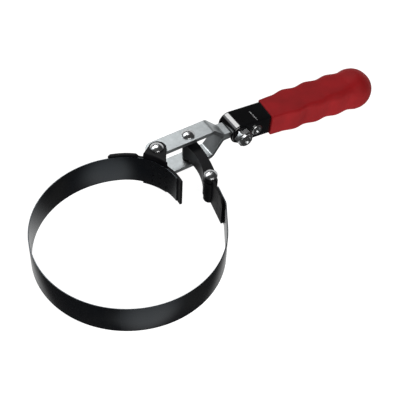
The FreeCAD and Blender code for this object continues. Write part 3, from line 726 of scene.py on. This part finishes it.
def polar(radius, degrees, centre=(0.0, 0.0)):
    """Point at a radius and angle about a centre."""
    turn = math.radians(degrees)
    return (centre[0] + radius * math.cos(turn), centre[1] + radius * math.sin(turn))


def arc_line(centre, radius, start, end, step):
    """Points with outward directions along an arc, the last one left out."""
    count = max(2, math.ceil(abs(math.radians(end - start)) * radius / step))
    line = []
    for i in range(count):
        angle = start + (end - start) * i / count
        line.append((polar(radius, angle, centre), polar(1.0, angle)))
    return line


def straight_line(first, last, step):
    """Points with outward directions along a straight run, the last one left out."""
    run = Vector(last) - Vector(first)
    count = max(2, math.ceil(run.length / step))
    outward = (run.normalized().y, -run.normalized().x)
    return [(tuple(Vector(first) + run * (i / count)), outward) for i in range(count)]


# ---- the band ----
def band_section(thickness, low, high, radius):
    """Rounded rectangle across the band: outward offset and height of each point."""
    half = thickness / 2.0
    nook = 3
    section = []
    for side, level, start in ((1, low, -90), (1, high, 0), (-1, high, 90), (-1, low, 180)):
        hub = (side * (half - radius), level + (radius if level == low else -radius))
        for i in range(nook + 1):
            turn = math.radians(start + 90.0 * i / nook)
            section.append((hub[0] + radius * math.cos(turn), hub[1] + radius * math.sin(turn)))
    return section


def band_piece(name, line, settings, material):
    """Sweeps the band's section along a line in plan."""
    section = band_section(settings.thickness, BAND_LOW, BAND_HIGH, settings.edge_radius)
    mesh_data = bmesh.new()
    rings = [
        [(x + out[0] * offset, y + out[1] * offset, height) for offset, height in section]
        for (x, y), out in line
    ]
    skin_rings(mesh_data, rings)
    return new_piece(name, mesh_data, material, math.radians(50))


def bend_after(start, corner, end, radius):
    """Hub and angles of the arc that rounds a left-hand corner between two straight runs."""
    come = (Vector(corner) - Vector(start)).normalized()
    go = (Vector(end) - Vector(corner)).normalized()
    turn = math.atan2(come.cross(go), come.dot(go))
    first = Vector(corner) - come * radius * math.tan(turn / 2.0)
    hub = first + Vector((-come.y, come.x)) * radius
    angle = math.degrees(math.atan2((first - hub).y, (first - hub).x))
    return tuple(hub), angle, angle + math.degrees(turn)


class FILTERWRENCH_OT_finishes(bpy.types.Operator):
    """Make the finishes of the band, head, handle and grip"""

    bl_idname = "filterwrench.finishes"
    bl_label = "Finishes"

    def execute(self, context):
        settings = context.scene.filterwrench_finish
        make_blued_band("band_blueing", settings.band_colour, roughness=0.20)
        # Both black finishes paint a lighter grey on their edges as a highlight.
        make_black_metal(
            "black_oxide", settings.black_colour, roughness=0.44, gloss_level=0.12,
            skin_scale=900.0, skin_depth=0.04 * MM, edge_highlight=0.02)
        make_black_metal(
            "handle_paint", settings.paint_colour, roughness=0.11, gloss_level=1.0,
            skin_scale=350.0, skin_depth=0.01 * MM, edge_highlight=0.02)
        make_plated_steel(
            "zinc_plating", settings.zinc_colour, roughness=0.42, mottle=0.14,
            grain_scale=1800.0, grain_depth=0.02 * MM)
        make_plated_steel(
            "bright_plating", settings.bright_colour, roughness=0.21, mottle=0.08,
            grain_scale=900.0, grain_depth=0.002 * MM)
        make_vinyl("dipped_vinyl", settings.vinyl_colour)
        return {"FINISHED"}


class FILTERWRENCH_OT_band(bpy.types.Operator):
    """Sweep the spring band in three lengths"""

    bl_idname = "filterwrench.band"
    bl_label = "Spring Band"

    def execute(self, context):
        settings = context.scene.filterwrench_band
        step = settings.step
        material = find_material("band_blueing")
        centre = polar(RING_RADIUS - settings.thickness / 2.0 - CURL_RADIUS, CURL_ANGLES[1])
        ring = RING_RADIUS - settings.thickness / 2.0

        rear = arc_line(centre, CURL_RADIUS, *CURL_ANGLES, step)
        rear += arc_line((0, 0), ring, CURL_ANGLES[1], SEAM_ANGLES[0], step)
        rear.append((polar(ring, SEAM_ANGLES[0]), polar(1.0, SEAM_ANGLES[0])))
        left = arc_line((0, 0), ring, *SEAM_ANGLES, step)
        left.append((polar(ring, SEAM_ANGLES[1]), polar(1.0, SEAM_ANGLES[1])))
        leaving = polar(ring, STRAIGHT_ANGLE)
        hub, bend_from, bend_to = bend_after(leaving, FRONT_BEND, FRONT_END, FRONT_BEND_RADIUS)
        front = arc_line((0, 0), ring, SEAM_ANGLES[1], STRAIGHT_ANGLE, step)
        front += straight_line(leaving, polar(FRONT_BEND_RADIUS, bend_from, hub), step)
        front += arc_line(hub, FRONT_BEND_RADIUS, bend_from, bend_to, step)
        front += straight_line(polar(FRONT_BEND_RADIUS, bend_to, hub), FRONT_END, step)
        front.append((FRONT_END, front[-1][1]))

        pieces = (
            ("band_rear_length", rear, ("loop_rear", "loop_left"), ("band_rear",)),
            ("band_left_length", left, ("loop_left", "loop_front"), ("band_left",)),
            ("band_front_length", front, ("loop_front", "loop_right"), ("band_front", "band_right")),
        )
        for (name, line, bodies, nodes), flex in zip(pieces, FLEX_ANGLES):
            piece = band_piece(name, line, settings, material)
            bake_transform(piece)
            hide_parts(*nodes)
        return {"FINISHED"}


class FILTERWRENCH_OT_shoes(bpy.types.Operator):
    """Finish the shoes, their ties, the arm, the spacers and the nut's washer"""

    bl_idname = "filterwrench.shoes"
    bl_label = "Shoes and Arm"

    def execute(self, context):
        black = find_material("black_oxide")
        for name in ("rear_shoe", "front_shoe", "band_ties", "shoe_ties", "link_arm",
                     "pivot_spacer", "arm_spacers", "stop_sleeve", "nut_washer"):
            coat_node(name, black)
        return {"FINISHED"}


class FILTERWRENCH_OT_head(bpy.types.Operator):
    """Finish the lever plates, rivets, swivel bolt, nut and handle channel"""

    bl_idname = "filterwrench.head"
    bl_label = "Lever Head"

    def execute(self, context):
        zinc = find_material("zinc_plating")
        for name in ("upper_side_plate", "lower_side_plate"):
            coat_node(name, zinc)
        bright = find_material("bright_plating")
        for name in ("pivot_rivet", "arm_rivet", "shoe_rivet", "swivel_bolt", "lock_nut", "stop_rivet"):
            coat_node(name, bright)
        coat_node("handle_channel", find_material("handle_paint"))
        return {"FINISHED"}


# ---- the grip ----
def eased(low, high, share):
    """Blends two values with no slope at either end, as the grip's waves do."""
    return low + (high - low) * share * share * (3.0 - 2.0 * share)


def grip_sizes(u):
    """Half width, shift, half height and corner radius of the grip at a place along it."""
    if u >= BALL_CENTRE:
        last = GRIP_STATIONS[-1]
        reach = BALL_END - BALL_CENTRE
        share = math.sqrt(max(0.0, 1.0 - ((u - BALL_CENTRE) / reach) ** 2))
        return tuple(value * share for value in last[1:])
    for lower, upper in zip(GRIP_STATIONS, GRIP_STATIONS[1:]):
        if u <= upper[0]:
            share = max(0.0, (u - lower[0]) / (upper[0] - lower[0]))
            wave = tuple(eased(lower[i], upper[i], share) for i in (1, 2))
            steady = tuple(lower[i] + (upper[i] - lower[i]) * share for i in (3, 4))
            return wave + steady
    raise ValueError("no station holds " + str(u))


def rounded_ring(half_width, half_height, radius):
    """Closed ring of points across the handle: corners of eight facets, split flats."""
    corner_parts, flat_parts = 8, 6
    corners = []
    for i, (side, level) in enumerate(((1, 1), (-1, 1), (-1, -1), (1, -1))):
        hub = (side * (half_width - radius), level * (half_height - radius))
        corners.append([
            (hub[0] + radius * math.cos(math.radians(90.0 * i + 90.0 * k / corner_parts)),
             hub[1] + radius * math.sin(math.radians(90.0 * i + 90.0 * k / corner_parts)))
            for k in range(corner_parts + 1)])
    ring = []
    for i, corner in enumerate(corners):
        ring += corner
        first, last = corner[-1], corners[(i + 1) % 4][0]
        for k in range(1, flat_parts):
            share = k / flat_parts
            ring.append((first[0] + (last[0] - first[0]) * share,
                         first[1] + (last[1] - first[1]) * share))
    return ring


def on_handle(u, across, up, droop):
    """Point given along, across and up from the swivel bolt, turned down by the droop."""
    x = BOLT_X + u * math.cos(droop) + up * math.sin(droop)
    z = MID_Z + up * math.cos(droop) - u * math.sin(droop)
    return (x, HANDLE_Y + across, z)


def grip_ring(u, sizes, inset, settings):
    """One ring of the grip's skin, skewed as the sleeve's end is, pulled in by an inset."""
    half_width, shift, half_height, radius = (value * MM for value in sizes)
    near_ball = max(0.0, min(1.0, (u - SKEW_FADE_START) / (BALL_CENTRE - SKEW_FADE_START)))
    skew = settings.skew * (1.0 - near_ball)
    upright = SLEEVE_LEAN * max(0.0, 1.0 - (u - GRIP_STATIONS[0][0]) / LEAN_FADE)
    corner = max(radius - inset, LEAST_CORNER)
    ring = rounded_ring(half_width - inset, half_height - inset, corner)
    return [
        on_handle(u * MM + y * skew - z * upright, y + shift, z, settings.droop) for y, z in ring]


class FILTERWRENCH_OT_grip(bpy.types.Operator):
    """Loft the vinyl sleeve with its finger waves, ball end and open front"""

    bl_idname = "filterwrench.grip"
    bl_label = "Vinyl Grip"

    def execute(self, context):
        settings = context.scene.filterwrench_grip
        start = SLEEVE_START
        rings = []
        bore = (HANDLE_HIGH.y - HANDLE_LOW.y) / 2.0 + settings.clearance
        for u in (BORE_END, start + 2.0, start):
            bore_ring = rounded_ring(bore, BORE_HALF_HEIGHT + settings.clearance, BORE_CORNER)
            upright = SLEEVE_LEAN if u <= start else 0.0
            lean = settings.skew if u <= start else 0.0
            rings.append([
                on_handle(u * MM + y * lean - z * upright, y, z, settings.droop)
                for y, z in bore_ring])
        for share in (0.0, 0.35, 0.7, 1.0):
            turn = math.radians(90.0 * share)
            inset = settings.lip * (1.0 - math.sin(turn))
            ahead = settings.lip * (1.0 - math.cos(turn)) / MM
            rings.append(grip_ring(start + ahead, grip_sizes(start), inset, settings))
        u = start + settings.lip / MM + 1.0
        while u < BALL_CENTRE:
            rings.append(grip_ring(u, grip_sizes(u), 0.0, settings))
            u += RING_STEP
        reach = BALL_END - BALL_CENTRE
        for i in range(BALL_RINGS):
            u = BALL_CENTRE + reach * math.sin(math.radians(90.0 * i / BALL_RINGS))
            rings.append(grip_ring(u, grip_sizes(u), 0.0, settings))
        mesh_data = bmesh.new()
        skin_rings(mesh_data, rings)
        piece = new_piece("vinyl_grip", mesh_data, find_material("dipped_vinyl"), math.radians(40))
        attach(piece, "handle")
        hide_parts("grip")
        return {"FINISHED"}


# ---- the stage ----
def add_softbox(name, azimuth, elevation, distance, size, power, tint):
    """Rectangular lamp placed round the tool and aimed at it."""
    around, up = math.radians(azimuth), math.radians(elevation)
    way = Vector((math.cos(up) * math.cos(around), math.cos(up) * math.sin(around), math.sin(up)))
    lamp = bpy.data.lights.new(name, "AREA")
    lamp.shape = "RECTANGLE"
    lamp.size, lamp.size_y = size
    lamp.energy = power
    lamp.color = tint
    softbox = bpy.data.objects.new(name, lamp)
    softbox.location = Vector(LAMP_TARGET) + way * distance
    softbox.rotation_mode = "QUATERNION"
    softbox.rotation_quaternion = way.to_track_quat("Z", "Y")
    bpy.context.scene.collection.objects.link(softbox)


def add_camera():
    """Camera above the loop's open side, rolled a little."""
    forward = Vector(CAMERA_FORWARD).normalized()
    level = Vector((forward.y, -forward.x, 0.0)).normalized()
    upward = level.cross(forward)
    right = level * math.cos(CAMERA_ROLL) + upward * math.sin(CAMERA_ROLL)
    upward = upward * math.cos(CAMERA_ROLL) - level * math.sin(CAMERA_ROLL)
    lens = bpy.data.cameras.new("studio_camera")
    lens.lens = 90.0
    lens.sensor_width = 36.0
    lens.clip_start, lens.clip_end = 0.05, 20.0
    camera = bpy.data.objects.new("studio_camera", lens)
    turn = Matrix((right, upward, -forward)).transposed()
    camera.matrix_world = Matrix.Translation(CAMERA_PLACE) @ turn.to_4x4()
    bpy.context.scene.collection.objects.link(camera)
    bpy.context.scene.camera = camera


class FILTERWRENCH_OT_stage(bpy.types.Operator):
    """Set up the pale floor, the soft lamps and the camera"""

    bl_idname = "filterwrench.stage"
    bl_label = "Studio"

    def execute(self, context):
        settings = context.scene.filterwrench_studio
        context.scene.view_settings.view_transform = "Standard"
        context.scene.world = make_surroundings(settings.ambient, settings.sweep)

        mesh_data = bmesh.new()
        slope = math.tan(settings.floor_tilt)
        toe = -RING_RADIUS
        half = FLOOR_HALF_SIDE
        corners = ((-half, -half), (half, -half), (half, half), (-half, half))
        mesh_data.faces.new([mesh_data.verts.new((x, y, -slope * (x - toe))) for x, y in corners])
        mesh = bpy.data.meshes.new("studio_floor")
        mesh_data.to_mesh(mesh)
        mesh_data.free()
        mesh.materials.append(make_floor_paper("floor_paper", settings.floor_colour))
        floor = bpy.data.objects.new("studio_floor", mesh)
        floor.visible_glossy = False
        context.scene.collection.objects.link(floor)

        add_softbox("key_lamp", 86.0, 54.0, 1.3, (0.75, 0.35), settings.key_power, (1.0, 1.0, 1.0))
        add_softbox("edge_lamp", 122.0, 48.0, 1.3, (0.5, 0.45), settings.edge_power, (0.96, 0.98, 1.0))
        add_softbox("front_lamp", 262.0, 38.0, 1.2, (0.9, 0.7), settings.front_power, (1.0, 0.99, 0.97))
        add_camera()
        return {"FINISHED"}


class FILTERWRENCH_PT_panel(bpy.types.Panel):
    """Sizes, finishes and building steps of the filter wrench"""

    bl_idname = "FILTERWRENCH_PT_panel"
    bl_label = "Filter Wrench"
    bl_space_type = "VIEW_3D"
    bl_region_type = "UI"
    bl_category = "Filter Wrench"

    def draw(self, context):
        layout = self.layout
        for operator in OPERATORS:
            layout.operator(operator.bl_idname)
        for title, group in SETTINGS.items():
            box = layout.box()
            box.label(text=title)
            settings = getattr(context.scene, group[0])
            for key in group[1].__annotations__:
                box.prop(settings, key)


SETTINGS = {
    "Band": ("filterwrench_band", FILTERWRENCH_PG_band),
    "Grip": ("filterwrench_grip", FILTERWRENCH_PG_grip),
    "Finishes": ("filterwrench_finish", FILTERWRENCH_PG_finish),
    "Studio": ("filterwrench_studio", FILTERWRENCH_PG_studio),
}
OPERATORS = (
    FILTERWRENCH_OT_finishes,
    FILTERWRENCH_OT_band,
    FILTERWRENCH_OT_shoes,
    FILTERWRENCH_OT_head,
    FILTERWRENCH_OT_grip,
    FILTERWRENCH_OT_stage,
)


def register():
    for name, group in SETTINGS.values():
        bpy.utils.register_class(group)
        setattr(bpy.types.Scene, name, PointerProperty(type=group))
    for operator in OPERATORS:
        bpy.utils.register_class(operator)
    bpy.utils.register_class(FILTERWRENCH_PT_panel)


def unregister():
    bpy.utils.unregister_class(FILTERWRENCH_PT_panel)
    for operator in reversed(OPERATORS):
        bpy.utils.unregister_class(operator)
    for name, group in reversed(list(SETTINGS.values())):
        delattr(bpy.types.Scene, name)
        bpy.utils.unregister_class(group)


def main():
    register()
    bpy.ops.filterwrench.finishes()
    bpy.ops.filterwrench.band()
    bpy.ops.filterwrench.shoes()
    bpy.ops.filterwrench.head()
    bpy.ops.filterwrench.grip()
    bpy.ops.filterwrench.stage()


if __name__ == "__main__":
    main()
